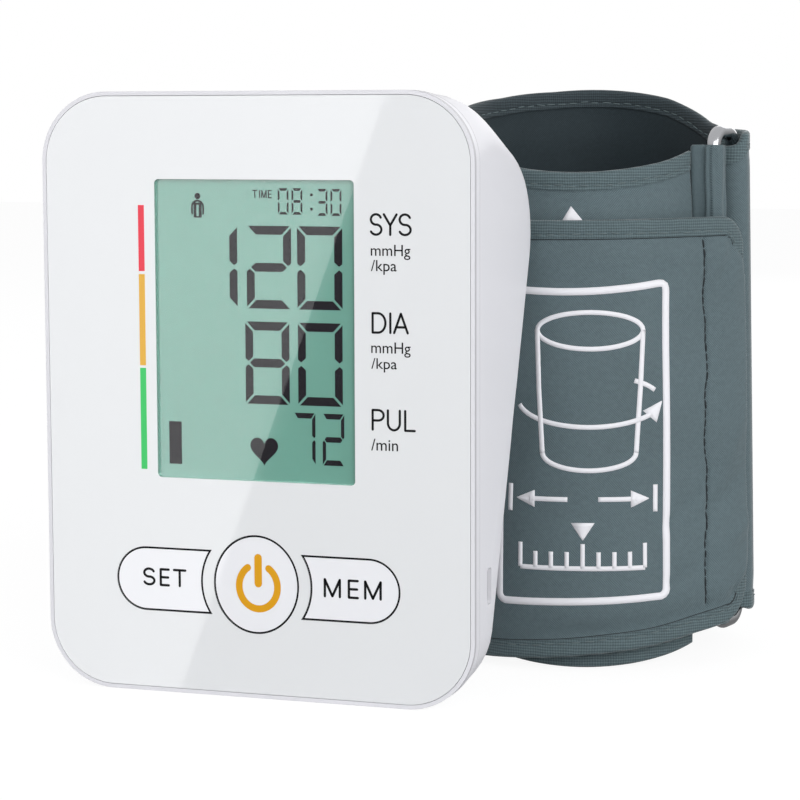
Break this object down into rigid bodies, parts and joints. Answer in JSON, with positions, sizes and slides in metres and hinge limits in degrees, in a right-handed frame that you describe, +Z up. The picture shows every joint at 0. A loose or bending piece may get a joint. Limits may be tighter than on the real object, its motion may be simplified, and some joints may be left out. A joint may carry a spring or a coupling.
{
  "type": "blood pressure monitor",
  "caption": "Upper-arm blood pressure monitor: wedge case with glossy face, display and press keys, beside a rolled fabric arm cuff with a steel ring.",
  "frame": {"origin": "middle of the front cover's flat lower edge, on which the monitor stands", "axes": "+X to the right across the face, +Y from the face to the back, +Z up"},
  "size_m": [0.1519, 0.1259, 0.1405],
  "materials": {
    "case_white": "fine satin moulded ABS",
    "panel_gloss": "gloss acrylic, white backing",
    "window_clear": "clear gloss acrylic",
    "lcd": "grey green liquid crystal glass",
    "light_guide": "milky light guide",
    "inner_plastic": "plain moulded plastic",
    "board": "green solder mask",
    "steel": "stamped and drawn steel",
    "chrome_wire": "polished wire",
    "dark_plastic": "black moulded plastic",
    "cell_skin": "printed steel can",
    "rubber_grey": "moulded rubber",
    "silicone": "translucent silicone",
    "cuff_cloth": "slate grey green twill",
    "loop_cloth": "brushed loop",
    "hook_tape": "moulded hook tape",
    "bladder_film": "welded film"
  },
  "bodies": {
    "monitor": {"front_cover": "case_white", "face_panel": "panel_gloss", "display_window": "window_clear", "lcd_glass": "lcd", "backlight": "light_guide", "lcd_frame": "inner_plastic", "contact_strip": "silicone", "main_board": "board", "key_switches": "dark_plastic", "buzzer": "dark_plastic", "usb_socket": "steel", "pressure_sensor": "dark_plastic", "pump_motor": "steel", "pump_head": "dark_plastic", "release_valve": "steel", "air_manifold": "silicone", "air_socket": "inner_plastic", "rear_cover": "case_white", "battery_contacts": "steel", "battery_cell_1": "cell_skin", "battery_cell_2": "cell_skin", "battery_cell_3": "cell_skin", "battery_cell_4": "cell_skin", "rubber_feet": "rubber_grey", "case_screws": "steel"},
    "power_button": {"power_button": "panel_gloss"},
    "set_button": {"set_button": "panel_gloss"},
    "mem_button": {"mem_button": "panel_gloss"},
    "battery_door": {"battery_door": "case_white"},
    "cuff": {"cuff_band": "cuff_cloth", "air_bladder": "bladder_film", "hose_port": "dark_plastic", "cuff_strap": "cuff_cloth", "loop_patch": "loop_cloth", "hook_patch": "hook_tape", "steel_ring": "chrome_wire", "ring_sleeve": "cuff_cloth"}
  },
  "joints": [
    {"name": "power_press", "type": "slide", "parent": "monitor", "child": "power_button", "axis": [0, 1, 0], "range_m": [0, 0.0005], "stiffness_N_per_m": 600},
    {"name": "set_press", "type": "slide", "parent": "monitor", "child": "set_button", "axis": [0, 1, 0], "range_m": [0, 0.0005], "stiffness_N_per_m": 600},
    {"name": "mem_press", "type": "slide", "parent": "monitor", "child": "mem_button", "axis": [0, 1, 0], "range_m": [0, 0.0005], "stiffness_N_per_m": 600},
    {"name": "door_slide", "type": "slide", "parent": "monitor", "child": "battery_door", "axis": [0, 0.342, 0.9397], "range_m": [0, 0.062]},
    {"name": "cuff_slide", "type": "slide", "parent": "monitor", "child": "cuff", "axis": [1, 0, 0], "range_m": [0, 0.12]}
  ]
}
